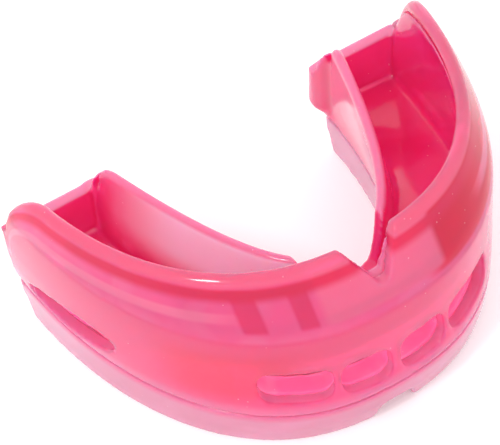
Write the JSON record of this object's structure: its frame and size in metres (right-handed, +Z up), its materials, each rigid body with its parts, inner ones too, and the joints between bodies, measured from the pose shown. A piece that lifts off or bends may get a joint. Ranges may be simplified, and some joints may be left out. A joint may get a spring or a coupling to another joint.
{
  "type": "double mouthguard",
  "caption": "U-shaped double mouthguard: upper and lower bite troughs back to back, frenulum notches, breathing ports across the front and side windows.",
  "frame": {"origin": "under the middle of the guard, on the plane that its lower edge rests on", "axes": "+X to the wearer's left, which is the right-hand side seen from the lips; -Y to the lips; +Z up to the upper teeth. Left and right in names are as seen from the lips"},
  "size_m": [0.0656, 0.046, 0.0301],
  "materials": {
    "shell_silicone": "translucent gloss pink silicone, firm grade",
    "liner_silicone": "translucent gloss magenta silicone, soft grade",
    "tray_silicone": "translucent gloss pale pink silicone",
    "core_silicone": "translucent pink silicone, hard grade",
    "cushion_silicone": "deep magenta silicone gel",
    "frame_elastomer": "magenta elastomer, satin"
  },
  "bodies": {
    "root": {"outer_shell": "shell_silicone", "upper_liner": "liner_silicone", "lower_tray": "tray_silicone", "airway_core": "core_silicone", "molar_cushion_left": "cushion_silicone", "molar_cushion_right": "cushion_silicone", "impact_frame": "frame_elastomer"}
  },
  "joints": []
}
